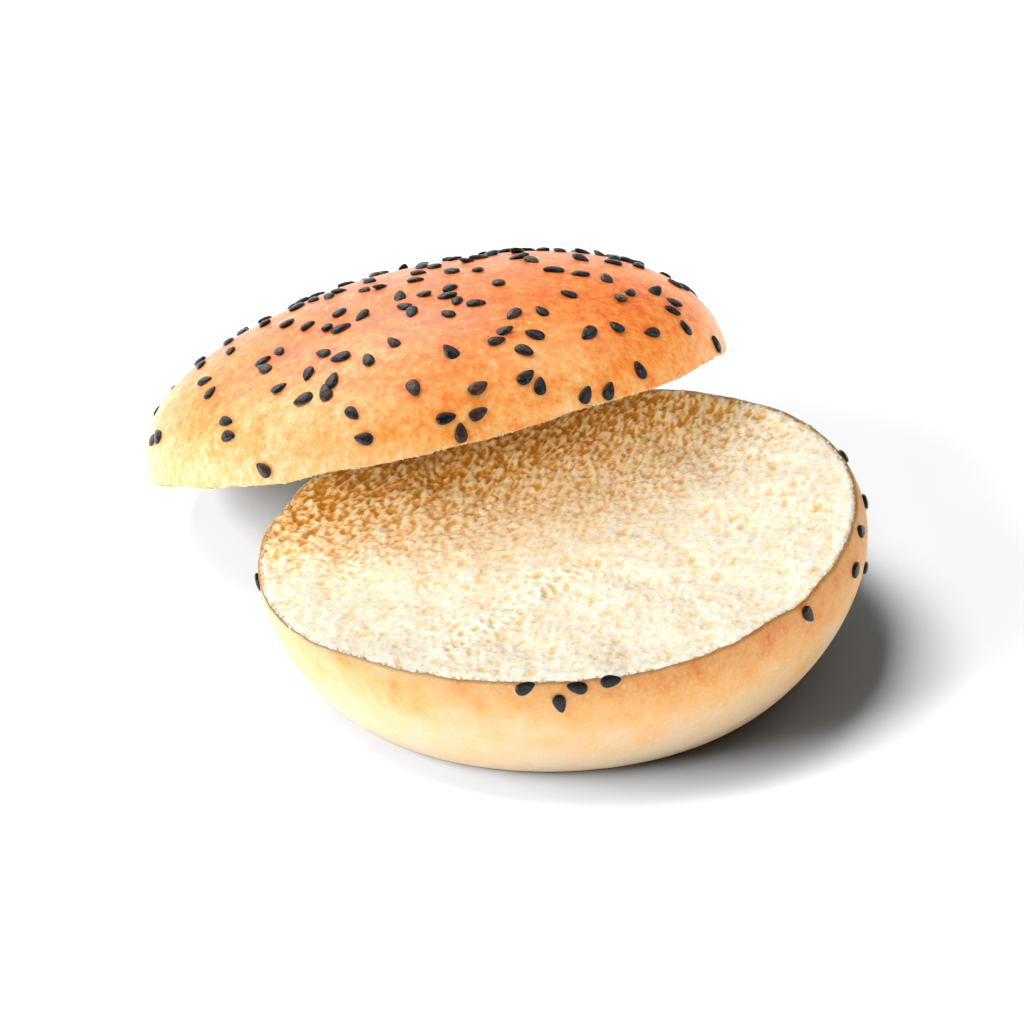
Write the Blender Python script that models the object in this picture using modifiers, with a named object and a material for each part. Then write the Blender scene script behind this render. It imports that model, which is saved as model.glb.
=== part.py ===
"""Sesame-topped brioche burger bun, cut in two.

The heel lies on its flat base with the cut side up. The crown leans on the back rim of the heel,
with the far edge of its cut face on the table. Metres, +Z up, origin at the middle of the heel's base.
Both halves are first shaped as one whole bun, in its own place round the origin, and then cut.
"""

import math
import random

import bmesh
import bpy
from mathutils import Matrix, Vector, noise
from mathutils.bvhtree import BVHTree

# The whole bun
RADIUS = 0.0500
BASE_RADIUS = 0.0392
HEIGHT = 0.0430
EQUATOR_HEIGHT = 0.0193
DOME_FULLNESS = 2.12
WALL_FULLNESS, FOOT_ROUNDNESS = 1.7, 1.3
DENT_DEPTH = 0.0006
DENT_SIZE = 0.030

# Each half's outline is off round by these waves: turns, cosine part, sine part
HEEL_WAVES = ((2, 0.001, 0.008), (3, 0.017, 0.013), (4, -0.010, 0.007))
CROWN_WAVES = ((2, -0.001, 0.001), (3, -0.011, -0.002), (4, 0.006, -0.002))

# The cut, on each half: height in the middle, slopes along X and Y, two saddle parts
HEEL_CUT = (0.0215, 0.106, -0.024, 0.0001, 0.0017)
CROWN_CUT = (0.0180, -0.002, -0.077, 0.0009, -0.0003)
HEEL_DISH, CROWN_BULGE = 0.0026, 0.0012
CRUMB_WAVE_DEPTH = 0.0008
CRUMB_WAVE_SIZE = 0.016
HEEL_CRUMB, CROWN_CRUMB = 3.0, 11.0
KNIFE_SIDE = 0.124
KNIFE_CELLS = 28
KNIFE_DEPTH = 0.080

# How the crown leans on the heel
LEAN_ANGLE = math.radians(25.5)
LEAN_HEADING = math.radians(120.6)
LEAN_SIDEWAYS = 0.0040
TOUCH_GAP = 0.0003

# Sesame seeds
SEED_LENGTH, SEED_WIDTH, SEED_THICKNESS = 0.0033, 0.0022, 0.0010
SEED_SHOWN = 0.0002
SEED_SIDES, SEED_RINGS = 6, 3
SEED_TAPER = 0.32
STREWN_SEEDS = 168
STREWN_DRAW = 7
STREWN_FROM = math.radians(17)
STREWN_FULL = math.radians(60)
STREWN_THIN = 0.22
SEED_SPACING = 0.0024
SEED_TILT = math.radians(8)
SEED_SIZE_SPREAD = 0.12
# Single seeds: azimuth in degrees, distance from the cut in metres, turn from level in degrees
CROWN_LOW_SEEDS = (
    (346, 0.0022, 100),
    (307, 0.0017, 50),
    (302, 0.0019, 45),
    (277, 0.0020, 80),
    (316, 0.0034, 95),
    (281, 0.0042, 15),
    (275, 0.0046, 0),
    (259, 0.0044, 165),
    (237, 0.0022, 140),
    (294, 0.0053, 65),
    (195, 0.0068, 20),
    (148, 0.0080, 35),
    (121, 0.0056, 110),
    (88, 0.0071, 70),
    (61, 0.0040, 150),
    (28, 0.0052, 30),
)
HEEL_SEEDS = (
    (264, 0.0007, 30),
    (270, 0.0029, 285),
    (273, 0.0009, 165),
    (279, 0.0004, 5),
    (323, 0.0021, 300),
    (344, 0.0045, 15),
    (353, 0.0021, 350),
    (354, 0.0093, 150),
    (7, 0.0036, 10),
    (18, 0.0004, 0),
    (33, 0.0020, 120),
    (40, 0.0090, 70),
    (58, 0.0030, 40),
    (72, 0.0022, 10),
    (189, 0.0012, 90),
)

# The turned profile
TURN_STEPS = 56
DOME_STEPS = 15
WALL_STEPS = 8
BASE_STEPS = 3

FINISHES = {
    "crust_golden": ((0.70, 0.30, 0.07, 1.0), 0.42),
    "crust_pale": ((0.80, 0.50, 0.20, 1.0), 0.50),
}


def clear_scene():
    for obj in list(bpy.data.objects):
        bpy.data.objects.remove(obj)


def make_collection(name):
    collection = bpy.data.collections.new(name)
    bpy.context.scene.collection.children.link(collection)
    return collection


def make_finish(name):
    colour, roughness = FINISHES[name]
    material = bpy.data.materials.new(name)
    material.use_nodes = True
    shader = material.node_tree.nodes["Principled BSDF"]
    shader.inputs["Base Color"].default_value = colour
    shader.inputs["Roughness"].default_value = roughness
    shader.inputs["Metallic"].default_value = 0.0
    return material


def dome_ring(angle):
    """(radius, height) of the dome; angle 0 is the equator and a right angle the apex."""
    radius = RADIUS * max(math.cos(angle), 0.0) ** (2 / DOME_FULLNESS)
    rise = (HEIGHT - EQUATOR_HEIGHT) * math.sin(angle) ** (2 / DOME_FULLNESS)
    return radius, EQUATOR_HEIGHT + rise


def wall_ring(height):
    """(radius, height) of the wall under the equator, which tucks in to the flat base."""
    depth = 1 - height / EQUATOR_HEIGHT
    tuck = (1 - depth**WALL_FULLNESS) ** (1 / FOOT_ROUNDNESS)
    return BASE_RADIUS + (RADIUS - BASE_RADIUS) * tuck, height


def outline_growth(azimuth, waves):
    turned = [c * math.cos(turns * azimuth) + s * math.sin(turns * azimuth) for turns, c, s in waves]
    return 1 + sum(turned)


def heel_skin(point):
    """Moves a point of the turned bun to where the real heel has it. The base stays flat."""
    grow = outline_growth(math.atan2(point.y, point.x), HEEL_WAVES)
    return Vector((point.x * grow, point.y * grow, point.z))


def crown_skin(point):
    """Moves a point of the turned bun to where the real crown has it, with shallow dents."""
    grow = outline_growth(math.atan2(point.y, point.x), CROWN_WAVES)
    dent = DENT_DEPTH * noise.noise(point / DENT_SIZE)
    return Vector((point.x * grow, point.y * grow, point.z + dent))


def bun_profile():
    """Points of the profile at +X, from the apex down to the middle of the base."""
    quarter = math.pi / 2
    rings = [dome_ring(quarter * (1 - k / DOME_STEPS)) for k in range(DOME_STEPS)]
    for k in range(WALL_STEPS + 1):
        rings.append(wall_ring(EQUATOR_HEIGHT * (1 - math.sin(quarter * k / WALL_STEPS))))
    rings += [(BASE_RADIUS * (1 - k / BASE_STEPS), 0.0) for k in range(1, BASE_STEPS + 1)]
    rings[0] = (0.0, HEIGHT)
    return [(radius, 0.0, height) for radius, height in rings]


def use_evaluated_mesh(obj):
    """Applies the object's modifiers."""
    bpy.context.view_layer.update()
    evaluated = obj.evaluated_get(bpy.context.evaluated_depsgraph_get())
    mesh = bpy.data.meshes.new_from_object(evaluated)
    obj.modifiers.clear()
    obj.data = mesh


def make_whole_bun(name, skin, collection):
    profile = bun_profile()
    mesh = bpy.data.meshes.new(name)
    mesh.from_pydata(profile, [(k, k + 1) for k in range(len(profile) - 1)], [])
    bun = bpy.data.objects.new(name, mesh)
    collection.objects.link(bun)
    turn = bun.modifiers.new("turn", "SCREW")
    turn.steps = turn.render_steps = TURN_STEPS
    turn.use_merge_vertices = True
    turn.merge_threshold = 0.00001
    use_evaluated_mesh(bun)
    for vertex in bun.data.vertices:
        vertex.co = skin(vertex.co)
    return bun


def crumb_wave(x, y, part):
    """Broad waves that the knife leaves in the crumb."""
    broad = noise.noise(Vector((x, y, 0)) / CRUMB_WAVE_SIZE + Vector((0, 0, part)))
    fine = noise.noise(Vector((x, y, 0)) * 2.2 / CRUMB_WAVE_SIZE + Vector((0, 0, part + 5)))
    return CRUMB_WAVE_DEPTH * (broad + 0.45 * fine)


def cut_surface(x, y, cut):
    """The height at which the knife passed."""
    height, slope_x, slope_y, saddle, twist = cut
    bend = saddle * (x * x - y * y) + twist * 2 * x * y
    return height + slope_x * x + slope_y * y + bend / RADIUS**2


def dished(x, y):
    """1 in the middle of the cut face and 0 at its rim."""
    return max(0.0, 1 - (x * x + y * y) / (0.95 * RADIUS) ** 2)


def heel_cut(x, y):
    dish = HEEL_DISH * dished(x, y)
    return cut_surface(x, y, HEEL_CUT) - dish + crumb_wave(x, y, HEEL_CRUMB)


def crown_cut(x, y):
    bulge = CROWN_BULGE * dished(x, y)
    return cut_surface(x, y, CROWN_CUT) - bulge + crumb_wave(x, y, CROWN_CRUMB)


def cut_away(bun, surface, side):
    """Cuts off what lies above the surface, for side 1, or under it, for side -1."""
    mesh = bpy.data.meshes.new("knife")
    form = bmesh.new()
    bmesh.ops.create_grid(form, x_segments=KNIFE_CELLS, y_segments=KNIFE_CELLS, size=KNIFE_SIDE / 2)
    for vertex in form.verts:
        vertex.co.z = surface(vertex.co.x, vertex.co.y)
    form.to_mesh(mesh)
    form.free()
    knife = bpy.data.objects.new("knife", mesh)
    bpy.context.scene.collection.objects.link(knife)
    knife.hide_render = True
    knife.display_type = "WIRE"
    block = knife.modifiers.new("block", "SOLIDIFY")
    block.thickness = KNIFE_DEPTH
    block.offset = side
    use_evaluated_mesh(knife)
    cut = bun.modifiers.new("cut", "BOOLEAN")
    cut.operation = "DIFFERENCE"
    cut.object = knife
    use_evaluated_mesh(bun)
    bpy.data.objects.remove(knife)


def seed_mesh():
    """A flat drop, its length along X, its blunt end at -X and its flat sides facing +Z and -Z."""
    form = bmesh.new()
    bmesh.ops.create_uvsphere(form, u_segments=SEED_SIDES, v_segments=SEED_RINGS, radius=0.5)
    bmesh.ops.rotate(form, verts=form.verts, matrix=Matrix.Rotation(math.pi / 2, 3, "Y"))
    for vertex in form.verts:
        along, across, up = vertex.co
        taper = 1 - SEED_TAPER * (along * 2 + 0.3)
        vertex.co = Vector((along * SEED_LENGTH, across * SEED_WIDTH * taper, up * SEED_THICKNESS))
    mesh = bpy.data.meshes.new("seed")
    form.to_mesh(mesh)
    form.free()
    return mesh


def dome_level(height):
    """The dome angle of a height above the equator."""
    rise = (height - EQUATOR_HEIGHT) / (HEIGHT - EQUATOR_HEIGHT)
    return math.asin(rise ** (DOME_FULLNESS / 2))


def skin_frame(skin, azimuth, ring_at, level, step):
    """A point of the skin with its level, rising and outward directions; ring_at(level) is its ring."""

    def on_skin(turned, at):
        radius, height = ring_at(at)
        return skin(Vector((radius * math.cos(turned), radius * math.sin(turned), height)))

    along = (on_skin(azimuth + 0.01, level) - on_skin(azimuth - 0.01, level)).normalized()
    rising = on_skin(azimuth, level + step) - on_skin(azimuth, level - step)
    outward = along.cross(rising).normalized()
    return on_skin(azimuth, level), Matrix((along, outward.cross(along), outward)).transposed()


def skin_frame_at_height(skin, azimuth, height):
    if height > EQUATOR_HEIGHT + 0.0003:
        return skin_frame(skin, azimuth, dome_ring, dome_level(height), 0.005)
    return skin_frame(skin, azimuth, wall_ring, min(height, EQUATOR_HEIGHT - 0.0003), 0.0002)


def seed_place(point, lie, turn, tilt, size):
    """Where a seed lies: flat on the skin, turned on it, a little tilted and sunk in."""
    outward = lie.col[2]
    spin = Matrix.Rotation(turn, 4, "Z") @ Matrix.Rotation(tilt, 4, "Y")
    raised = Matrix.Translation(point + outward * SEED_SHOWN)
    return raised @ lie.to_4x4() @ spin @ Matrix.Scale(size, 4)


def single_seed_places(seeds, skin, cut, side):
    """The listed seeds, above the cut for side 1 and below it for side -1."""
    places, points = [], []
    for azimuth_deg, away, turn_deg in seeds:
        azimuth = math.radians(azimuth_deg)
        rim = cut(RADIUS * 0.98 * math.cos(azimuth), RADIUS * 0.98 * math.sin(azimuth))
        point, lie = skin_frame_at_height(skin, azimuth, rim + side * away)
        points.append(point)
        places.append(seed_place(point, lie, math.radians(turn_deg), 0.0, 1.0))
    return places, points


def crown_seed_places():
    """The low seeds, then seeds strewn from above: dense round the apex, thin lower down."""
    draw = random.Random(STREWN_DRAW)
    quarter = math.pi / 2
    places, points = single_seed_places(CROWN_LOW_SEEDS, crown_skin, crown_cut, 1)
    wanted = STREWN_SEEDS + len(places)
    while len(places) < wanted:
        azimuth = draw.uniform(0, 2 * math.pi)
        angle = quarter * (1 - math.sqrt(draw.random()))
        chance = draw.random()
        turn = draw.uniform(0, 2 * math.pi)
        tilt = draw.gauss(0, SEED_TILT)
        size = 1 + draw.uniform(-SEED_SIZE_SPREAD, SEED_SIZE_SPREAD)
        thickness = STREWN_THIN + (1 - STREWN_THIN) * min(1.0, angle / STREWN_FULL) ** 1.5
        if angle < STREWN_FROM or chance > thickness:
            continue
        level = min(angle, quarter - 0.03)
        point, lie = skin_frame(crown_skin, azimuth, dome_ring, level, 0.01)
        if any((point - other).length < SEED_SPACING for other in points):
            continue
        points.append(point)
        places.append(seed_place(point, lie, turn, tilt, size))
    return places


def heel_seed_places():
    """The few seeds that stuck to the heel's wall."""
    return single_seed_places(HEEL_SEEDS, heel_skin, heel_cut, -1)[0]


def add_seeds(bun, places):
    """Fuses a seed to the bun at each place, by one union on their collection."""
    seeds = make_collection("seeds")
    mesh = seed_mesh()
    for place in places:
        seed = bpy.data.objects.new("seed", mesh)
        seed.matrix_world = place
        seeds.objects.link(seed)
    fuse = bun.modifiers.new("fuse", "BOOLEAN")
    fuse.operation = "UNION"
    fuse.operand_type = "COLLECTION"
    fuse.collection = seeds
    fuse.solver = "EXACT"
    use_evaluated_mesh(bun)
    for seed in list(seeds.objects):
        bpy.data.objects.remove(seed)
    bpy.data.collections.remove(seeds)


def finish_half(half, finish):
    half.data.materials.clear()
    half.data.materials.append(make_finish(finish))
    half.data.shade_smooth()
    half.data.set_sharp_from_angle(angle=math.radians(35))


def free_slide(crown_points, crown_faces, heel, heading):
    """How far the crown can slide against the heading before it meets the heel."""
    heel_points = [vertex.co.copy() for vertex in heel.data.vertices]
    heel_tree = BVHTree.FromPolygons(heel_points, [tuple(f.vertices) for f in heel.data.polygons])
    crown_tree = BVHTree.FromPolygons(crown_points, crown_faces)
    ways = [heel_tree.ray_cast(point, -heading)[3] for point in crown_points]
    ways += [crown_tree.ray_cast(point, heading)[3] for point in heel_points]
    return min(way for way in ways if way is not None)


def lean_crown(crown, heel):
    """Tips the crown over, stands its lowest edge on the table and slides it up to the heel's rim."""
    level = Vector((-CROWN_CUT[1], -CROWN_CUT[2], 1)).normalized()
    heading = Vector((math.cos(LEAN_HEADING), math.sin(LEAN_HEADING), 0))
    sideways = Vector((heading.y, -heading.x, 0))
    normal = heading * math.sin(LEAN_ANGLE) + Vector((0, 0, math.cos(LEAN_ANGLE)))
    tip = level.rotation_difference(normal).to_matrix()
    tipped = [tip @ vertex.co for vertex in crown.data.vertices]
    far = heading * RADIUS * 3 + sideways * LEAN_SIDEWAYS
    away = far + Vector((0, 0, TOUCH_GAP - min(point.z for point in tipped)))
    faces = [tuple(polygon.vertices) for polygon in crown.data.polygons]
    slide = free_slide([point + away for point in tipped], faces, heel, heading) - TOUCH_GAP
    crown.matrix_world = Matrix.Translation(away - heading * slide) @ tip.to_4x4()


def main():
    clear_scene()
    bun = make_collection("burger_bun")
    heel = make_whole_bun("heel", heel_skin, bun)
    cut_away(heel, heel_cut, 1)
    add_seeds(heel, heel_seed_places())
    finish_half(heel, "crust_pale")
    crown = make_whole_bun("crown", crown_skin, bun)
    cut_away(crown, crown_cut, -1)
    add_seeds(crown, crown_seed_places())
    finish_half(crown, "crust_golden")
    lean_crown(crown, heel)


main()
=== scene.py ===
import math
import random

import bmesh
import bpy
import numpy as np
from mathutils import Matrix, Vector, kdtree, noise


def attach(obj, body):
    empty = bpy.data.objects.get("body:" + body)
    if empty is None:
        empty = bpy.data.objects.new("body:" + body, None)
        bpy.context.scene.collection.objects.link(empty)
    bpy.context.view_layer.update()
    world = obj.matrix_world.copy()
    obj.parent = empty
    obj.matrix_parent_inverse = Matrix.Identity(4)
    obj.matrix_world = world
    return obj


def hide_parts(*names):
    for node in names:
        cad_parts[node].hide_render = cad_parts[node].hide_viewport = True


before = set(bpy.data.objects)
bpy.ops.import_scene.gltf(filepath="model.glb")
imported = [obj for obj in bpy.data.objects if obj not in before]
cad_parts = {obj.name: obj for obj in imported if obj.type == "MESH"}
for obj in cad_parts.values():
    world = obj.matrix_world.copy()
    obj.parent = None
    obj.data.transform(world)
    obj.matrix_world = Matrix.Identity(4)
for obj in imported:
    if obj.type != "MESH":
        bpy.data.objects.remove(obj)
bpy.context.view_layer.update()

# The whole bun, as in the solids, in metres
QUARTER = math.pi / 2
RADIUS = 0.0500
BASE_RADIUS = 0.0392
HEIGHT = 0.0430
EQUATOR_HEIGHT = 0.0193
DOME_FULLNESS = 2.12
WALL_FULLNESS, FOOT_ROUNDNESS = 1.7, 1.3
DENT_DEPTH = 0.0006
DENT_SIZE = 0.030
HEEL_WAVES = ((2, 0.001, 0.008), (3, 0.017, 0.013), (4, -0.010, 0.007))
CROWN_WAVES = ((2, -0.001, 0.001), (3, -0.011, -0.002), (4, 0.006, -0.002))
HEEL_CUT = (0.0215, 0.106, -0.024, 0.0001, 0.0017)
CROWN_CUT = (0.0180, -0.002, -0.077, 0.0009, -0.0003)
HEEL_DISH, CROWN_BULGE = 0.0026, 0.0012
CRUMB_WAVE_DEPTH = 0.0008
CRUMB_WAVE_SIZE = 0.016
HEEL_CRUMB, CROWN_CRUMB = 3.0, 11.0

# Where the crown lies: its lean, and the place that its middle takes
LEAN_ANGLE = math.radians(25.5)
LEAN_HEADING = math.radians(120.6)
CROWN_PLACE = (-0.0153343, 0.0337868, 0.0047871)

# Sesame seeds, as in the solids
SEED_LENGTH, SEED_WIDTH, SEED_THICKNESS = 0.0033, 0.0022, 0.0010
SEED_SHOWN = 0.0002
SEED_TAPER = 0.32
STREWN_SEEDS = 168
STREWN_DRAW = 7
STREWN_FROM = math.radians(17)
STREWN_FULL = math.radians(60)
STREWN_THIN = 0.22
SEED_SPACING = 0.0024
SEED_TILT = math.radians(8)
SEED_SIZE_SPREAD = 0.12
CROWN_LOW_SEEDS = (
    (346, 0.0022, 100),
    (307, 0.0017, 50),
    (302, 0.0019, 45),
    (277, 0.0020, 80),
    (316, 0.0034, 95),
    (281, 0.0042, 15),
    (275, 0.0046, 0),
    (259, 0.0044, 165),
    (237, 0.0022, 140),
    (294, 0.0053, 65),
    (195, 0.0068, 20),
    (148, 0.0080, 35),
    (121, 0.0056, 110),
    (88, 0.0071, 70),
    (61, 0.0040, 150),
    (28, 0.0052, 30),
)
HEEL_SEEDS = (
    (264, 0.0007, 30),
    (270, 0.0029, 285),
    (273, 0.0009, 165),
    (279, 0.0004, 5),
    (323, 0.0021, 300),
    (344, 0.0045, 15),
    (353, 0.0021, 350),
    (354, 0.0093, 150),
    (7, 0.0036, 10),
    (18, 0.0004, 0),
    (33, 0.0020, 120),
    (40, 0.0090, 70),
    (58, 0.0030, 40),
    (72, 0.0022, 10),
    (189, 0.0012, 90),
)
SEED_SIDES, SEED_RINGS = 16, 10

# Browner streaks on the heel's wall: azimuth in degrees, depth below the cut, half width, half height
SCORCHES = (
    (229, 0.0012, 0.0030, 0.0012),
    (240, 0.0040, 0.0012, 0.0030),
    (244, 0.0060, 0.0016, 0.0016),
    (256, 0.0045, 0.0010, 0.0018),
)

# Fineness of the meshes
TURN_STEPS = 480
CROWN_ROWS, HEEL_ROWS = 120, 70
HEEL_CRUMB_CELLS, CROWN_CRUMB_CELLS = 312, 220

# Tufts of torn crumb along the rims: how many, their half sizes, and how far in from the rim they lie
HEEL_TUFTS, CROWN_TUFTS = 800, 2000
HEEL_TUFT_HALF, CROWN_TUFT_HALF = (0.00012, 0.00032), (0.00009, 0.00024)
HEEL_TUFTS_FROM, CROWN_TUFTS_FROM = 0.0004, 0.0001
TUFTS_DEEP = 0.0005

# How far the crust's torn edge wanders from the cut
TORN_EDGE = 0.00022

# How the crumb is set into the crust
LIP = 0.0005
CRUMB_INSET = 0.0001
CRUMB_EDGE = 0.985
HEEL_EDGE_DROP, CROWN_EDGE_DROP = 0.0003, 0.0002
RECESS_DEPTH, RECESS_INSET = 0.0070, 0.0050
LID_DEPTH, LID_INSET = 0.0064, 0.0046

# Painted shade on the crumb: how deep it is in the crumb's hollows, on slopes away from the key light,
# at the back of the heel that the crown shades, and at the crown's crumb's edge
HOLLOW_SCALE = 0.0008
HOLLOW_REACH = 6
LEE_SHADE_GAIN = 1.1
CROWN_EDGE_GOLD = 0.35
HEEL_BACK_SHADE = 0.40

# Half the floor's width
FLOOR_HALF = 1.4


def dome_ring(angle):
    radius = RADIUS * max(math.cos(angle), 0.0) ** (2 / DOME_FULLNESS)
    rise = (HEIGHT - EQUATOR_HEIGHT) * max(math.sin(angle), 0.0) ** (2 / DOME_FULLNESS)
    return radius, EQUATOR_HEIGHT + rise


def wall_ring(height):
    depth = 1 - height / EQUATOR_HEIGHT
    tuck = max(1 - depth**WALL_FULLNESS, 0.0) ** (1 / FOOT_ROUNDNESS)
    return BASE_RADIUS + (RADIUS - BASE_RADIUS) * tuck, height


def ring_at(way):
    """(radius, height) on the meridian: way 0 is the apex, 1 the equator and 2 the foot."""
    if way <= 1:
        return dome_ring(QUARTER * (1 - way))
    return wall_ring(EQUATOR_HEIGHT * (1 - math.sin(QUARTER * min(way - 1, 1.0))))


def outline_growth(azimuth, waves):
    turned = [c * math.cos(turns * azimuth) + s * math.sin(turns * azimuth) for turns, c, s in waves]
    return 1 + sum(turned)


def heel_skin(point):
    grow = outline_growth(math.atan2(point.y, point.x), HEEL_WAVES)
    return Vector((point.x * grow, point.y * grow, point.z))


def crown_skin(point):
    grow = outline_growth(math.atan2(point.y, point.x), CROWN_WAVES)
    dent = DENT_DEPTH * noise.noise(point / DENT_SIZE)
    return Vector((point.x * grow, point.y * grow, point.z + dent))


def crumb_wave(x, y, part):
    broad = noise.noise(Vector((x, y, 0)) / CRUMB_WAVE_SIZE + Vector((0, 0, part)))
    fine = noise.noise(Vector((x, y, 0)) * 2.2 / CRUMB_WAVE_SIZE + Vector((0, 0, part + 5)))
    return CRUMB_WAVE_DEPTH * (broad + 0.45 * fine)


def cut_surface(x, y, cut):
    height, slope_x, slope_y, saddle, twist = cut
    bend = saddle * (x * x - y * y) + twist * 2 * x * y
    return height + slope_x * x + slope_y * y + bend / RADIUS**2


def dished(x, y):
    return max(0.0, 1 - (x * x + y * y) / (0.95 * RADIUS) ** 2)


def heel_cut(x, y):
    dish = HEEL_DISH * dished(x, y)
    return cut_surface(x, y, HEEL_CUT) - dish + crumb_wave(x, y, HEEL_CRUMB)


def crown_cut(x, y):
    bulge = CROWN_BULGE * dished(x, y)
    return cut_surface(x, y, CROWN_CUT) - bulge + crumb_wave(x, y, CROWN_CRUMB)


def crown_placing():
    """Where the crown's own frame lies in the row frame."""
    level = Vector((-CROWN_CUT[1], -CROWN_CUT[2], 1)).normalized()
    heading = Vector((math.cos(LEAN_HEADING), math.sin(LEAN_HEADING), 0))
    normal = heading * math.sin(LEAN_ANGLE) + Vector((0, 0, math.cos(LEAN_ANGLE)))
    tip = level.rotation_difference(normal).to_matrix()
    return Matrix.Translation(CROWN_PLACE) @ tip.to_4x4()


def on_meridian(skin, azimuth, way):
    radius, height = ring_at(way)
    return skin(Vector((radius * math.cos(azimuth), radius * math.sin(azimuth), height)))


def torn_edge(azimuth, part):
    """How far the crust's edge stands out over the cut, in metres."""
    place = Vector((math.cos(azimuth), math.sin(azimuth), part)) * RADIUS
    return TORN_EDGE * (noise.noise(place / 0.0042) + 0.7 * noise.noise(place / 0.0013))


def rim_way(skin, cut, azimuth, part):
    """Where the meridian meets the cut, give or take the tear."""
    torn = torn_edge(azimuth, part)
    above, below = 0.4, 1.8
    for _ in range(28):
        middle = (above + below) / 2
        point = on_meridian(skin, azimuth, middle)
        if point.z > cut(point.x, point.y) + torn:
            above = middle
        else:
            below = middle
    return (above + below) / 2


def smooth_step(low, high, value):
    share = min(max((value - low) / (high - low), 0.0), 1.0)
    return share * share * (3 - 2 * share)


def closed_shell(name, first, rings, last):
    """A closed mesh object: a point, rings of points from there on, and a last point."""
    columns = len(rings[0])
    points = [first, *(point for ring in rings for point in ring), last]
    end = len(points) - 1
    faces = []
    for column in range(columns):
        after = (column + 1) % columns
        faces.append((0, 1 + column, 1 + after))
        for row in range(len(rings) - 1):
            upper, lower = 1 + row * columns, 1 + (row + 1) * columns
            faces.append((upper + column, lower + column, lower + after, upper + after))
        bottom = 1 + (len(rings) - 1) * columns
        faces.append((bottom + column, end, bottom + after))
    return mesh_object(name, points, faces)


def mesh_object(name, points, faces):
    mesh = bpy.data.meshes.new(name)
    mesh.from_pydata([tuple(point) for point in points], [], faces)
    mesh.shade_smooth()
    obj = bpy.data.objects.new(name, mesh)
    bpy.context.scene.collection.objects.link(obj)
    return obj


def set_values(obj, name, values):
    attribute = obj.data.attributes.new(name, "FLOAT", "POINT")
    attribute.data.foreach_set("value", np.asarray(values, np.float32))


def inset(point, inward, across):
    """The point moved towards the axis by inward and along the axis by across."""
    away = math.hypot(point.x, point.y)
    keep = (away - inward) / away
    return Vector((point.x * keep, point.y * keep, point.z + across))


def recess_rings(rim, into):
    """The lip of the crust and the hollow behind it that the crumb fills; into is 1 upwards."""
    lip_edge = [inset(p, LIP * 0.35, 0.00003 * into) for p in rim]
    lip_back = [inset(p, LIP, 0.0002 * into) for p in rim]
    floor_edge = [inset(p, RECESS_INSET, RECESS_DEPTH * into) for p in rim]
    return [lip_edge, lip_back, floor_edge]


def turn_azimuths():
    return [2 * math.pi * k / TURN_STEPS for k in range(TURN_STEPS)]


def crown_crust():
    """The crown's baked skin, with the hollow for its crumb; returns the object and its rim radii."""
    azimuths = turn_azimuths()
    ends = [rim_way(crown_skin, crown_cut, azimuth, CROWN_CRUMB) for azimuth in azimuths]
    rings = []
    for row in range(1, CROWN_ROWS + 1):
        share = row / CROWN_ROWS
        rings.append([on_meridian(crown_skin, a, end * share) for a, end in zip(azimuths, ends)])
    rim = rings[-1]
    back = recess_rings(rim, 1)
    middle = Vector((0, 0, crown_cut(0, 0) + RECESS_DEPTH))
    top = on_meridian(crown_skin, 0, 0)
    obj = closed_shell("crown_crust", top, rings + back, middle)
    return obj, [math.hypot(p.x, p.y) for p in rim]


def heel_crust():
    azimuths = turn_azimuths()
    starts = [rim_way(heel_skin, heel_cut, azimuth, HEEL_CRUMB) for azimuth in azimuths]
    rings = []
    for row in range(HEEL_ROWS + 1):
        ways = [way + (2 - way) * row / HEEL_ROWS for way in starts]
        rings.append([on_meridian(heel_skin, a, way) for a, way in zip(azimuths, ways)])
    rim = rings[0]
    back = recess_rings(rim, -1)
    under = [[inset(p, BASE_RADIUS * part, 0) for p in rings[-1]] for part in (0.03, 0.3, 0.7)]
    middle = Vector((0, 0, heel_cut(0, 0) - RECESS_DEPTH))
    obj = closed_shell("heel_crust", middle, back[::-1] + rings + under, Vector((0, 0, 0)))
    return obj, [math.hypot(p.x, p.y) for p in rim]


def pores(place):
    """0 outside the crumb's pores, up to 1 in the middle of one."""
    distances, centres = noise.voronoi(place)
    chance = noise.cell(centres[0] * 7.3 + Vector((0.5, 0.5, 0.5)))
    if chance < 0.45:
        return 0.0
    return smooth_step(0.0, 0.35 + 0.25 * chance, 0.35 + 0.25 * chance - distances[0])


def backwards(x, y):
    """How far back a place lies, towards the part of the heel that the crown shades."""
    return 0.92 * y - 0.35 * x


def shade_and_roughness_at(x, y, part):
    """How much painted shade the crumb takes, deeper and more golden, and how rough it is: most at the
    back of the heel that the crown shades, and all over the crown's crumb.
    """
    all_over = 1.5 if part == CROWN_CRUMB else 0.0
    return np.clip((backwards(x, y) - 0.001) / 0.028 + all_over, 0, 1)


def crumb_relief(x, y, part):
    """How far the torn crumb stands out at a place, in metres; the tear runs the stretched way."""
    place = Vector((x, y, part * 0.01))
    across, along = 0.94 * x - 0.34 * y, 0.34 * x + 0.94 * y
    torn = Vector((across, along * 0.62, part * 0.01))
    lumps = noise.noise(place / 0.0055)
    clumps = noise.noise(torn / 0.0021 + Vector((3, 1, 7)))
    tufts = noise.noise(torn / 0.00105 + Vector((9, 4, 2)))
    bits = noise.noise(torn / 0.00066 + Vector((2, 8, 5)))
    pits = pores(torn / 0.0026)
    rough = 0.28 + 0.72 * shade_and_roughness_at(x, y, part)
    fine = 0.00022 * clumps + 0.00050 * tufts + 0.00040 * bits
    return 0.00030 * lumps + rough * fine - 0.00030 * pits


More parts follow.
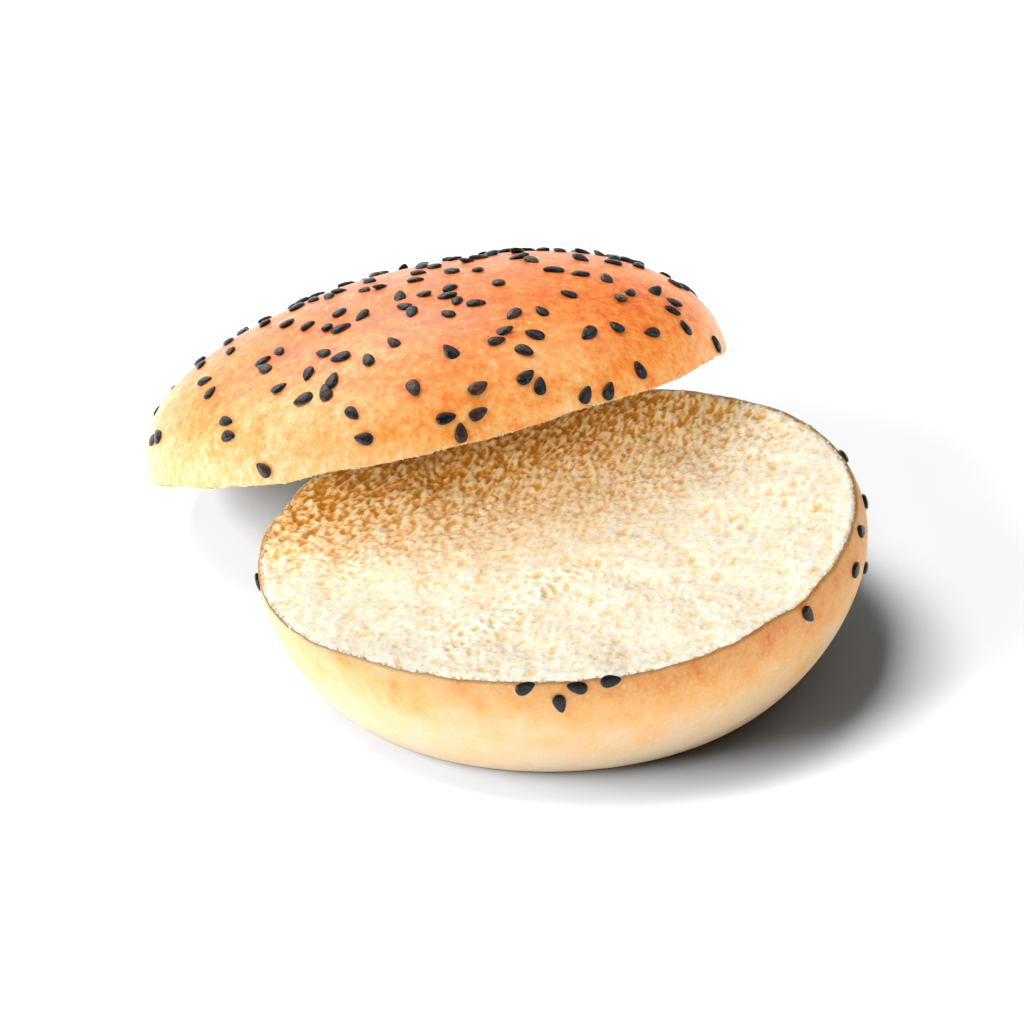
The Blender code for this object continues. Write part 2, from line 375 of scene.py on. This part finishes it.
def torn_ridge(x, y):
    """The tuft that the knife pulled up across the heel's crumb."""
    start, end = Vector((-0.017, -0.037)), Vector((0.001, -0.012))
    way = end - start
    along = (Vector((x, y)) - start).dot(way) / way.length_squared
    nearest = start + way * min(max(along, 0.0), 1.0)
    aside = (Vector((x, y)) - nearest).length
    spot = Vector((x, y, 0.3))
    rough = 0.5 + 0.4 * noise.noise(spot / 0.0026) + 0.5 * noise.noise(spot / 0.0012)
    return 0.0009 * rough * math.exp(-((aside / 0.0042) ** 2))


def disc_of_square(cells):
    """(share of the radius, azimuth) for each point of a square grid that is pulled out to a disc."""
    side = np.linspace(-1, 1, cells + 1)
    a, b = np.meshgrid(side, side, indexing="ij")
    wide = np.abs(a) > np.abs(b)
    safe_a = np.where(a == 0, 1, a)
    safe_b = np.where(b == 0, 1, b)
    radius = np.where(wide, a, b)
    turn = np.where(wide, (math.pi / 4) * b / safe_a, QUARTER - (math.pi / 4) * a / safe_b)
    turn = np.where((a == 0) & (b == 0), 0.0, turn)
    x, y = radius * np.cos(turn), radius * np.sin(turn)
    return np.hypot(x, y), np.arctan2(y, x) % (2 * math.pi)


def blurred(values, reach):
    """The running mean of a grid of values, within reach cells."""
    for axis in (0, 1):
        near = np.repeat(np.take(values, [0], axis), reach, axis)
        far = np.repeat(np.take(values, [-1], axis), reach, axis)
        padded = np.concatenate([near, values, far], axis)
        count = values.shape[axis]
        total = sum(np.take(padded, np.arange(k, k + count), axis) for k in range(2 * reach + 1))
        values = total / (2 * reach + 1)
    return values


def lid_grid(radii, cells):
    """x, y, radius of the rim and share of it, for each point of the lid's grid."""
    shares, azimuths = disc_of_square(cells)
    turns = np.linspace(0, 2 * math.pi, TURN_STEPS + 1)
    radius = np.interp(azimuths, turns, [*radii, radii[0]]) - CRUMB_INSET
    x, y = radius * shares * np.cos(azimuths), radius * shares * np.sin(azimuths)
    return x, y, radius, shares


def at_each(x, y, rule):
    """rule(x, y) for each point of the grid."""
    values = [rule(float(a), float(b)) for a, b in zip(x.ravel(), y.ravel())]
    return np.array(values).reshape(x.shape)


def lid_relief(x, y, part, ridge, edge):
    relief = at_each(x, y, lambda a, b: crumb_relief(a, b, part))
    if ridge:
        relief = relief + at_each(x, y, torn_ridge)
    drop = HEEL_EDGE_DROP if part == HEEL_CRUMB else CROWN_EDGE_DROP
    return relief * (1 - 0.5 * edge) - drop * edge


def lid_painted_shade(x, y, part, relief, edge):
    """Painted shade for each point of the crumb: deeper in its pits, on slopes facing away from the
    key light, and at the back of the heel that the crown shades; the crown's crumb goes more golden
    towards its edge.
    """
    # Painted shade on slopes that fall away from the key light, and in the pits of the relief.
    lee = np.zeros_like(relief)
    lee[1:] = relief[:-1] - relief[1:]
    share = 0.5 + 0.5 * shade_and_roughness_at(x, y, part)
    hollow = (blurred(relief, HOLLOW_REACH) - relief) / share + LEE_SHADE_GAIN * lee
    if part == CROWN_CRUMB:
        return hollow / HOLLOW_SCALE + CROWN_EDGE_GOLD * edge
    # Painted shade at the back of the heel, where the crown shades it.
    shaded = np.clip((backwards(x, y) - 0.014) / 0.02, 0, 1)
    return hollow / HOLLOW_SCALE + HEEL_BACK_SHADE * shaded


def lid_back(points, loop, cut, side):
    """The ring and the middle point of the lid's far side, drawn in from its edge."""
    low = points[loop].copy()
    away = np.hypot(low[:, 0], low[:, 1])
    keep = (away - LID_INSET) / away
    low[:, 0] *= keep
    low[:, 1] *= keep
    low[:, 2] -= side * LID_DEPTH
    return low, [[0, 0, cut(0, 0) - side * LID_DEPTH]]


def lid_faces(index, loop, first):
    """Faces of the grid, of the sides below its edge, and of the far side."""
    grid = np.stack([index[:-1, :-1], index[1:, :-1], index[1:, 1:], index[:-1, 1:]], -1)
    ring = np.arange(len(loop))
    after = np.roll(ring, -1)
    centre = np.full(len(ring), first + len(ring))
    sides = np.stack([loop[after], loop[ring], first + ring, first + after], -1)
    base = np.stack([first + after, first + ring, centre], -1)
    return [tuple(face) for group in (grid.reshape(-1, 4), sides, base) for face in group.tolist()]


def crumb_lid(name, radii, cut, part, side, cells, ridge):
    """The torn crumb face with a depth of crumb behind it; side 1 faces up."""
    x, y, radius, shares = lid_grid(radii, cells)
    edge = np.clip((shares - CRUMB_EDGE) / (1 - CRUMB_EDGE), 0, 1)
    relief = lid_relief(x, y, part, ridge, edge)
    ragged = at_each(x, y, lambda a, b: noise.noise(Vector((a, b, part)) / 0.0013))
    spread = 1 + edge * ragged * 0.0003 / radius
    z = at_each(x, y, cut) + side * relief
    points = np.stack([x * spread, y * spread, z], -1).reshape(-1, 3)
    first = len(points)
    index = np.arange(first).reshape(x.shape)
    loop = np.concatenate([index[:-1, 0], index[-1, :-1], index[:0:-1, -1], index[0, :0:-1]])
    low, middle = lid_back(points, loop, cut, side)
    faces = lid_faces(index, loop, first)
    if side < 0:
        faces = [face[::-1] for face in faces]
    obj = mesh_object(name, np.concatenate([points, low, middle]), faces)
    rest = np.zeros(len(loop) + 1)
    # Painted shade on the crumb: its depth, and the share of the golden shade colours.
    set_values(obj, "hollow", [*lid_painted_shade(x, y, part, relief, edge).ravel(), *rest])
    set_values(obj, "painted_shade", [*shade_and_roughness_at(x, y, part).ravel(), *rest])
    return obj


def tuft_form():
    """Directions and faces of a blob with twelve corners."""
    mesh = bmesh.new()
    bmesh.ops.create_icosphere(mesh, subdivisions=1, radius=1.0)
    corners = np.array([vertex.co[:] for vertex in mesh.verts])
    faces = np.array([[vertex.index for vertex in face.verts] for face in mesh.faces])
    mesh.free()
    return corners, faces


def tuft_blobs(draw, corners, count, half_range):
    """Corner points of the tufts round their own middles, each pulled out of shape."""
    smallest, largest = half_range
    half = smallest + (largest - smallest) * draw.random(count) ** 1.6
    shape = np.clip(1 + 0.3 * draw.standard_normal((count, len(corners))), 0.4, 1.6)
    stretch = draw.uniform(0.7, 1.4, (count, 1, 3))
    return corners[None] * shape[..., None] * half[:, None, None] * stretch


def tuft_heap(name, radii, cut, part, side, count):
    """Torn tufts along the rim of the crumb, as one mesh of small blobs."""
    on_heel = part == HEEL_CRUMB
    start = HEEL_TUFTS_FROM if on_heel else CROWN_TUFTS_FROM
    draw = np.random.default_rng(int(part))
    corners, form_faces = tuft_form()
    turns = np.linspace(0, 2 * math.pi, TURN_STEPS + 1)
    azimuths = draw.random(count) * 2 * math.pi
    inward = start + TUFTS_DEEP * draw.random(count) ** 2
    away = np.interp(azimuths, turns, [*radii, radii[0]]) - inward
    spots = np.stack([away * np.cos(azimuths), away * np.sin(azimuths)], -1)
    blobs = tuft_blobs(draw, corners, count, HEEL_TUFT_HALF if on_heel else CROWN_TUFT_HALF)
    base = np.array([cut(px, py) - side * 0.0001 for px, py in spots.tolist()])
    centres = np.concatenate([spots, base[:, None]], -1)
    first = np.arange(count) * len(corners)
    faces = (form_faces[None] + first[:, None, None]).reshape(-1, 3)
    obj = mesh_object(name, (blobs + centres[:, None]).reshape(-1, 3), faces.tolist())
    # The tufts take the crumb's painted shade where they lie; their hollow value is a random tone.
    painted_shade = shade_and_roughness_at(spots[:, 0], spots[:, 1], part)
    set_values(obj, "hollow", np.repeat(draw.uniform(0.1, 0.8, count), len(corners)))
    set_values(obj, "painted_shade", np.repeat(painted_shade, len(corners)))
    return obj


def dome_level(height):
    rise = (height - EQUATOR_HEIGHT) / (HEIGHT - EQUATOR_HEIGHT)
    return math.asin(rise ** (DOME_FULLNESS / 2))


def skin_frame(skin, azimuth, ring_of, level, step):
    """A point of the skin with its level, rising and outward directions."""

    def on_skin(turned, at):
        radius, height = ring_of(at)
        return skin(Vector((radius * math.cos(turned), radius * math.sin(turned), height)))

    along = (on_skin(azimuth + 0.01, level) - on_skin(azimuth - 0.01, level)).normalized()
    rising = on_skin(azimuth, level + step) - on_skin(azimuth, level - step)
    outward = along.cross(rising).normalized()
    return on_skin(azimuth, level), Matrix((along, outward.cross(along), outward)).transposed()


def skin_frame_at_height(skin, azimuth, height):
    if height > EQUATOR_HEIGHT + 0.0003:
        return skin_frame(skin, azimuth, dome_ring, dome_level(height), 0.005)
    return skin_frame(skin, azimuth, wall_ring, min(height, EQUATOR_HEIGHT - 0.0003), 0.0002)


def seed_place(point, lie, turn, tilt, size):
    outward = lie.col[2]
    spin = Matrix.Rotation(turn, 4, "Z") @ Matrix.Rotation(tilt, 4, "Y")
    raised = Matrix.Translation(point + outward * SEED_SHOWN)
    return raised @ lie.to_4x4() @ spin @ Matrix.Scale(size, 4)


def single_seed_places(seeds, skin, cut, side):
    places, points = [], []
    for azimuth_deg, away, turn_deg in seeds:
        azimuth = math.radians(azimuth_deg)
        rim = cut(RADIUS * 0.98 * math.cos(azimuth), RADIUS * 0.98 * math.sin(azimuth))
        point, lie = skin_frame_at_height(skin, azimuth, rim + side * away)
        points.append(point)
        places.append(seed_place(point, lie, math.radians(turn_deg), 0.0, 1.0))
    return places, points


def crown_seed_places():
    draw = random.Random(STREWN_DRAW)
    places, points = single_seed_places(CROWN_LOW_SEEDS, crown_skin, crown_cut, 1)
    wanted = STREWN_SEEDS + len(places)
    while len(places) < wanted:
        azimuth = draw.uniform(0, 2 * math.pi)
        angle = QUARTER * (1 - math.sqrt(draw.random()))
        chance = draw.random()
        turn = draw.uniform(0, 2 * math.pi)
        tilt = draw.gauss(0, SEED_TILT)
        size = 1 + draw.uniform(-SEED_SIZE_SPREAD, SEED_SIZE_SPREAD)
        thickness = STREWN_THIN + (1 - STREWN_THIN) * min(1.0, angle / STREWN_FULL) ** 1.5
        if angle < STREWN_FROM or chance > thickness:
            continue
        level = min(angle, QUARTER - 0.03)
        point, lie = skin_frame(crown_skin, azimuth, dome_ring, level, 0.01)
        if any((point - other).length < SEED_SPACING for other in points):
            continue
        points.append(point)
        places.append(seed_place(point, lie, turn, tilt, size))
    return places


def heel_seed_places():
    return single_seed_places(HEEL_SEEDS, heel_skin, heel_cut, -1)[0]


def seed_form():
    """Points and faces of a flat drop: blunt end at -X, flat sides facing +Z and -Z."""
    rings = []
    for row in range(1, SEED_RINGS):
        way = math.pi * row / SEED_RINGS
        along, wide = -0.5 * math.cos(way), 0.5 * math.sin(way)
        taper = 1 - SEED_TAPER * (along * 2 + 0.3)
        ring = []
        for side in range(SEED_SIDES):
            turn = 2 * math.pi * side / SEED_SIDES
            up = math.copysign(abs(math.sin(turn)) ** 0.8, math.sin(turn)) * wide ** 0.9 * 0.5**0.1
            aside = math.cos(turn) * wide * taper
            ring.append((along * SEED_LENGTH, aside * SEED_WIDTH, up * SEED_THICKNESS))
        rings.append(ring)
    tail, tip = (-0.5 * SEED_LENGTH, 0, 0), (0.5 * SEED_LENGTH, 0, 0)
    points = [tail, *(p for ring in rings for p in ring), tip]
    end = len(points) - 1
    faces = []
    for side in range(SEED_SIDES):
        after = (side + 1) % SEED_SIDES
        faces.append((0, 1 + after, 1 + side))
        for row in range(len(rings) - 1):
            near, far = 1 + row * SEED_SIDES, 1 + (row + 1) * SEED_SIDES
            faces.append((near + side, near + after, far + after, far + side))
        last = 1 + (len(rings) - 1) * SEED_SIDES
        faces.append((last + side, last + after, end))
    return [Vector(p) for p in points], faces


def seed_heap(name, places, draw):
    """All the seeds of one half as one mesh, each with its own tone."""
    form_points, form_faces = seed_form()
    points, faces, tones = [], [], []
    for place in places:
        first = len(points)
        points += [place @ p for p in form_points]
        faces += [tuple(first + k for k in face) for face in form_faces]
        tones += [draw.random()] * len(form_points)
    obj = mesh_object(name, points, faces)
    set_values(obj, "tone", tones)
    return obj


def near_seeds(obj, places):
    """1 close to a seed and 0 from 2.6 mm off, for each point of the skin: where a contact shadow is
    painted round the seeds.
    """
    tree = kdtree.KDTree(len(places))
    for k, place in enumerate(places):
        tree.insert(place.translation, k)
    tree.balance()
    return [1 - smooth_step(0.0008, 0.0026, tree.find(v.co)[2]) for v in obj.data.vertices]


def crown_bake(point):
    """How brown the crown's crust is: 1 darkest; near the cut the left side, where the key light and
    its sheen fall, is painted paler and the right side browner, as painted light and shade.
    """
    azimuth = math.atan2(point.y, point.x) % (2 * math.pi)
    above = point.z - crown_cut(point.x, point.y)
    patch = noise.noise(point / 0.017) * 0.5 + noise.noise(point / 0.007) * 0.25
    bake = 0.44 + 0.36 * smooth_step(0.000, 0.017, above + 0.004 * patch)
    # Painted light and shade: paler low on the left, towards the key light and sheen, and browner on
    # the right.
    left = 0.5 + 0.5 * math.cos(azimuth - math.radians(205))
    bake -= 0.31 * left * (1 - smooth_step(0.004, 0.030, above + 0.004 * patch))
    right = 0.5 + 0.5 * math.cos(azimuth - math.radians(315))
    return bake + 0.08 * right + 0.24 * patch


def scorch(point):
    """The browner streaks on the heel's left front, below the cut: 1 in the middle of one."""
    shade = 0.0
    for azimuth_deg, below, wide, tall in SCORCHES:
        azimuth = math.radians(azimuth_deg)
        aside = (math.atan2(point.y, point.x) - azimuth + math.pi) % (2 * math.pi) - math.pi
        down = heel_cut(point.x, point.y) - point.z - below
        shade += math.exp(-((aside * RADIUS / wide) ** 2) - (down / tall) ** 2)
    return min(shade, 1.0)


def heel_bake(point):
    """How brown the heel's wall is: golden under the cut and pale at the foot."""
    azimuth = math.atan2(point.y, point.x) % (2 * math.pi)
    below = heel_cut(point.x, point.y) - point.z
    patch = noise.noise(point / 0.012) * 0.6 + noise.noise(point / 0.004) * 0.5
    band = 1 - smooth_step(0.001, 0.019, below + 0.010 * patch)
    right = 0.5 + 0.5 * math.cos(azimuth - math.radians(320))
    foot = 1 - smooth_step(0.0002, 0.0011, point.z + 0.0004 * patch)
    return (0.22 + 0.44 * right) * band + 0.16 * patch + 0.06 + 0.95 * foot + 0.30 * scorch(point)


def shader_of(name):
    material = bpy.data.materials.new(name)
    material.use_nodes = True
    return material, material.node_tree, material.node_tree.nodes["Principled BSDF"]


def add_node(tree, kind, settings=(), inputs=()):
    made = tree.nodes.new(kind)
    for key, value in dict(settings).items():
        setattr(made, key, value)
    for key, value in dict(inputs).items():
        if isinstance(value, bpy.types.NodeSocket):
            tree.links.new(value, made.inputs[key])
        else:
            made.inputs[key].default_value = value
    return made


def value_of(tree, name):
    return add_node(tree, "ShaderNodeAttribute", {"attribute_name": name}).outputs["Fac"]


def grain(tree, scale, detail=2.0, roughness=0.5):
    place = add_node(tree, "ShaderNodeTexCoord").outputs["Object"]
    inputs = {"Vector": place, "Scale": scale, "Detail": detail, "Roughness": roughness}
    return add_node(tree, "ShaderNodeTexNoise", (), inputs).outputs["Fac"]


def sums(tree, operation, first, second):
    return add_node(tree, "ShaderNodeMath", {"operation": operation}, {0: first, 1: second}).outputs[0]


def weighed(tree, value, middle, gain):
    """(value - middle) * gain"""
    return sums(tree, "MULTIPLY", sums(tree, "SUBTRACT", value, middle), gain)


def stepped(tree, value, low, high, to_low=0.0, to_high=1.0):
    inputs = {"Value": value, "From Min": low, "From Max": high, "To Min": to_low, "To Max": to_high}
    return add_node(tree, "ShaderNodeMapRange", {}, inputs).outputs["Result"]


def ramp(tree, value, stops):
    made = add_node(tree, "ShaderNodeValToRGB", {}, {"Fac": value})
    elements = made.color_ramp.elements
    while len(elements) < len(stops):
        elements.new(0.5)
    for element, (at, colour) in zip(elements, stops):
        element.position = at
        element.color = (*colour, 1.0)
    return made.outputs["Color"]


def mixed(tree, share, first, second):
    made = add_node(tree, "ShaderNodeMix", {"data_type": "RGBA"})
    for key, value in ((0, share), (6, first), (7, second)):
        if isinstance(value, bpy.types.NodeSocket):
            tree.links.new(value, made.inputs[key])
        else:
            made.inputs[key].default_value = value if key == 0 else (*value, 1.0)
    return made.outputs[2]


def bumped(tree, height, distance, strength=1.0):
    inputs = {"Height": height, "Distance": distance, "Strength": strength}
    return add_node(tree, "ShaderNodeBump", {}, inputs).outputs["Normal"]


CRUST_STOPS = (
    (0.00, (0.91, 0.64, 0.34)),
    (0.30, (0.90, 0.47, 0.15)),
    (0.60, (0.89, 0.31, 0.045)),
    (0.85, (0.84, 0.20, 0.014)),
    (1.00, (0.74, 0.13, 0.008)),
)


def golden_crust():
    material, tree, shader = shader_of("golden_crust")
    broad = sums(tree, "ADD", grain(tree, 150, 3.0, 0.6), grain(tree, 330, 3.0, 0.6))
    mottle = weighed(tree, broad, 1.0, 0.55)
    speck = weighed(tree, sums(tree, "ADD", grain(tree, 1300, 2.0), grain(tree, 700, 2.0)), 1.0, 0.75)
    bake = sums(tree, "ADD", value_of(tree, "bake"), sums(tree, "ADD", mottle, speck))
    # Painted contact shadow: the crust is browner round each seed.
    bake = sums(tree, "ADD", bake, weighed(tree, value_of(tree, "painted_seed_shadow"), 0.0, 0.16))
    colour = ramp(tree, bake, CRUST_STOPS)
    blister = stepped(tree, grain(tree, 900, 1.0), 0.66, 0.76)
    colour = mixed(tree, weighed(tree, blister, 0.0, 0.40), colour, (0.96, 0.62, 0.28))
    tree.links.new(colour, shader.inputs["Base Color"])
    gloss = stepped(tree, grain(tree, 300, 3.0), 0.3, 0.7, 0.36, 0.50)
    tree.links.new(gloss, shader.inputs["Roughness"])
    relief = sums(tree, "ADD", grain(tree, 900, 3.0, 0.6), grain(tree, 240, 2.0))
    tree.links.new(bumped(tree, relief, 0.00012, 0.7), shader.inputs["Normal"])
    shader.inputs["Subsurface Weight"].default_value = 0.25
    shader.inputs["Subsurface Radius"].default_value = (1.0, 0.45, 0.15)
    shader.inputs["Subsurface Scale"].default_value = 0.0012
    shader.inputs["Specular IOR Level"].default_value = 0.40
    shader.inputs["Coat Weight"].default_value = 0.22
    shader.inputs["Coat Roughness"].default_value = 0.30
    return material


PALE_STOPS = (
    (0.00, (0.73, 0.57, 0.385)),
    (0.30, (0.76, 0.51, 0.25)),
    (0.60, (0.79, 0.41, 0.125)),
    (0.85, (0.76, 0.26, 0.045)),
    (1.00, (0.58, 0.15, 0.018)),
)


def pale_crust():
    material, tree, shader = shader_of("pale_crust")
    mottle = weighed(tree, grain(tree, 200, 6.0, 0.7), 0.5, 0.95)
    speck = weighed(tree, grain(tree, 1400, 2.0), 0.5, 0.35)
    bake = sums(tree, "ADD", value_of(tree, "bake"), sums(tree, "ADD", mottle, speck))
    colour = ramp(tree, bake, PALE_STOPS)
    blister = stepped(tree, grain(tree, 1200, 1.0), 0.66, 0.76)
    colour = mixed(tree, weighed(tree, blister, 0.0, 0.30), colour, (0.92, 0.74, 0.48))
    tree.links.new(colour, shader.inputs["Base Color"])
    shader.inputs["Roughness"].default_value = 0.55
    relief = sums(tree, "ADD", grain(tree, 1000, 3.0, 0.6), grain(tree, 300, 2.0))
    tree.links.new(bumped(tree, relief, 0.00010, 0.6), shader.inputs["Normal"])
    shader.inputs["Subsurface Weight"].default_value = 0.35
    shader.inputs["Subsurface Radius"].default_value = (1.0, 0.55, 0.25)
    shader.inputs["Subsurface Scale"].default_value = 0.0015
    return material


# The crumb's colours in light, and a deeper, golden copy of them that paints the shade.
LIGHT_STOPS = (
    (0.0, (0.98, 0.92, 0.83)),
    (0.5, (0.97, 0.84, 0.66)),
    (1.0, (0.94, 0.64, 0.28)),
)
PAINTED_SHADE_STOPS = (
    (0.00, (0.97, 0.90, 0.76)),
    (0.45, (0.93, 0.74, 0.44)),
    (0.80, (0.76, 0.42, 0.10)),
    (1.00, (0.62, 0.29, 0.05)),
)


def crumb():
    material, tree, shader = shader_of("crumb")
    grains = sums(tree, "ADD", grain(tree, 1250, 2.0, 0.6), grain(tree, 700, 1.0))
    # Painted shade: the hollow value deepens the colour, with a random grain of tone added to it.
    hollow = sums(tree, "ADD", value_of(tree, "hollow"), weighed(tree, grains, 1.0, 1.4))
    hollow = sums(tree, "ADD", hollow, weighed(tree, grain(tree, 340, 2.0), 0.5, 1.0))
    depth = stepped(tree, hollow, -0.55, 0.75)
    light, golden = ramp(tree, depth, LIGHT_STOPS), ramp(tree, depth, PAINTED_SHADE_STOPS)
    # The golden painted-shade colours are mixed in by the painted shade attribute.
    colour = mixed(tree, value_of(tree, "painted_shade"), light, golden)
    tree.links.new(colour, shader.inputs["Base Color"])
    shader.inputs["Roughness"].default_value = 0.85
    relief = sums(tree, "ADD", grain(tree, 1300, 4.0, 0.65), grain(tree, 2600, 2.0))
    tree.links.new(bumped(tree, relief, 0.00012, 0.7), shader.inputs["Normal"])
    shader.inputs["Specular IOR Level"].default_value = 0.1
    shader.inputs["Subsurface Weight"].default_value = 0.75
    shader.inputs["Subsurface Radius"].default_value = (1.0, 0.75, 0.45)
    shader.inputs["Subsurface Scale"].default_value = 0.0013
    return material


SEED_STOPS = (
    (0.00, (0.004, 0.004, 0.006)),
    (0.85, (0.009, 0.008, 0.009)),
    (1.00, (0.050, 0.020, 0.011)),
)


def sesame():
    material, tree, shader = shader_of("sesame")
    tree.links.new(ramp(tree, value_of(tree, "tone"), SEED_STOPS), shader.inputs["Base Color"])
    shader.inputs["Roughness"].default_value = 0.24
    shader.inputs["Specular IOR Level"].default_value = 0.28
    tree.links.new(bumped(tree, grain(tree, 1300, 3.0), 0.00030, 1.0), shader.inputs["Normal"])
    return material


def dress(obj, material, node):
    obj.data.materials.append(material)
    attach(obj, "root")
    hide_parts(node)


def build_heel():
    crust, radii = heel_crust()
    places = heel_seed_places()
    set_values(crust, "bake", [heel_bake(v.co) for v in crust.data.vertices])
    lid = crumb_lid("heel_crumb", radii, heel_cut, HEEL_CRUMB, 1, HEEL_CRUMB_CELLS, True)
    tufts = tuft_heap("heel_tufts", radii, heel_cut, HEEL_CRUMB, 1, HEEL_TUFTS)
    seeds = seed_heap("heel_seeds", places, random.Random(3))
    return crust, lid, tufts, seeds


def build_crown():
    crust, radii = crown_crust()
    places = crown_seed_places()
    set_values(crust, "bake", [crown_bake(v.co) for v in crust.data.vertices])
    # Where the painted contact shadow round the seeds falls.
    set_values(crust, "painted_seed_shadow", near_seeds(crust, places))
    lid = crumb_lid("crown_crumb", radii, crown_cut, CROWN_CRUMB, -1, CROWN_CRUMB_CELLS, False)
    tufts = tuft_heap("crown_tufts", radii, crown_cut, CROWN_CRUMB, -1, CROWN_TUFTS)
    seeds = seed_heap("crown_seeds", places, random.Random(5))
    placing = crown_placing()
    for obj in (crust, lid, tufts, seeds):
        obj.data.transform(placing)
    return crust, lid, tufts, seeds


def build_floor():
    """A pale floor, paler towards its edge, where the lamps give it less light."""
    half = FLOOR_HALF
    corners = [(-half, -half, 0), (half, -half, 0), (half, half, 0), (-half, half, 0)]
    floor = mesh_object("floor", corners, [(0, 1, 2, 3)])
    material, tree, shader = shader_of("floor")
    place = add_node(tree, "ShaderNodeTexCoord").outputs["Object"]
    away = add_node(tree, "ShaderNodeVectorMath", {"operation": "LENGTH"}, {0: place}).outputs["Value"]
    far = stepped(tree, away, 0.45, FLOOR_HALF)
    colour = mixed(tree, far, (0.1185, 0.12, 0.1225), (0.9, 0.9, 0.9))
    tree.links.new(colour, shader.inputs["Base Color"])
    shader.inputs["Roughness"].default_value = 0.7
    shader.inputs["Specular IOR Level"].default_value = 0.2
    floor.data.materials.append(material)
    return floor


def softbox(name, lit, azimuth_deg, elevation_deg, distance, width, depth, power, tint=(1, 1, 1)):
    """A soft area light on the lit collection; its azimuth is counted from +X."""
    light = bpy.data.lights.new(name, "AREA")
    light.shape = "RECTANGLE"
    light.size, light.size_y = width, depth
    light.energy = power
    light.color = tint
    target = (-0.01, 0.02, 0.02)
    obj = bpy.data.objects.new(name, light)
    bpy.context.scene.collection.objects.link(obj)
    azimuth, elevation = math.radians(azimuth_deg), math.radians(elevation_deg)
    level = math.cos(elevation)
    back = Vector((math.cos(azimuth) * level, math.sin(azimuth) * level, math.sin(elevation)))
    obj.location = Vector(target) + back * distance
    obj.rotation_euler = (-back).to_track_quat("-Z", "Y").to_euler()
    obj.light_linking.receiver_collection = lit


def lit_group(name, objs):
    group = bpy.data.collections.new(name)
    for obj in objs:
        group.objects.link(obj)
    return group


def build_lights(heel, crown, floor):
    on_crust, on_crumb = lit_group("lit_crust", [heel[0], heel[3]]), lit_group("lit_crumb", heel[1:3])
    on_crown, on_floor = lit_group("lit_crown", crown), lit_group("lit_floor", [floor])
    warm = (1.0, 0.84, 0.62)
    softbox("floor_top", on_floor, 166, 69, 1.1, 0.58, 0.58, 104)
    softbox("floor_side", on_floor, 201, 24, 1.1, 0.80, 0.60, 205)
    softbox("floor_fill", on_floor, 20, 60, 1.3, 1.2, 1.2, 10)
    softbox("crust_key", on_crust, 184, 40, 1.1, 0.75, 0.75, 2.7)
    softbox("crust_top", on_crust, 280, 76, 1.1, 0.9, 0.9, 1.7)
    softbox("crust_front", on_crust, 350, 2, 1.3, 0.9, 0.6, 5.4, warm)
    softbox("crumb_key", on_crumb, 197, 46, 0.65, 0.8, 0.8, 3.8, (1.0, 0.985, 0.97))
    softbox("crumb_top", on_crumb, 200, 72, 0.8, 0.7, 0.7, 1.6)
    softbox("crumb_front", on_crumb, 248, 22, 1.0, 0.8, 0.5, 6.4, (1.0, 0.90, 0.74))
    softbox("crown_key", on_crown, 168, 50, 1.1, 0.75, 0.75, 6.7)
    softbox("crown_sheen", on_crown, 122, 34, 1.1, 0.9, 0.6, 6.5)
    softbox("crown_back", on_crown, 50, 66, 1.1, 0.8, 0.8, 4.5)
    softbox("crown_front", on_crown, 326, 24, 1.3, 0.9, 0.6, 7.2, warm)
    world = bpy.data.worlds.new("studio")
    world.use_nodes = True
    bpy.context.scene.world = world
    tree = world.node_tree
    place = add_node(tree, "ShaderNodeTexCoord").outputs["Generated"]
    height = add_node(tree, "ShaderNodeSeparateXYZ", {}, {0: place}).outputs["Z"]
    strength = stepped(tree, height, 0.05, 0.25, 1.0, 0.16)
    tree.links.new(strength, tree.nodes["Background"].inputs["Strength"])
    tree.nodes["Background"].inputs["Color"].default_value = (1, 1, 1, 1)


def build_camera():
    data = bpy.data.cameras.new("camera")
    data.sensor_width = 36
    data.lens = 157.98
    data.clip_start, data.clip_end = 0.05, 20
    camera = bpy.data.objects.new("camera", data)
    bpy.context.scene.collection.objects.link(camera)
    target, elevation, distance = Vector((-0.00729, 0.04441, 0)), math.radians(28.974), 0.7768
    camera.location = target + Vector((0, -math.cos(elevation), math.sin(elevation))) * distance
    camera.rotation_euler = (QUARTER - elevation, 0, 0)
    bpy.context.scene.camera = camera


crumb_finish, sesame_finish = crumb(), sesame()
heel_parts = build_heel()
for piece, finish, slot in zip(
    heel_parts,
    (pale_crust(), crumb_finish, crumb_finish, sesame_finish),
    ("pale_crust", "crumb", "crumb", "sesame"),
):
    dress(piece, finish, "heel")
crown_parts = build_crown()
for piece, finish, slot in zip(
    crown_parts,
    (golden_crust(), crumb_finish, crumb_finish, sesame_finish),
    ("golden_crust", "crumb", "crumb", "sesame"),
):
    dress(piece, finish, "crown")
build_lights(heel_parts, crown_parts, build_floor())
build_camera()
bpy.context.scene.view_settings.view_transform = "Standard"
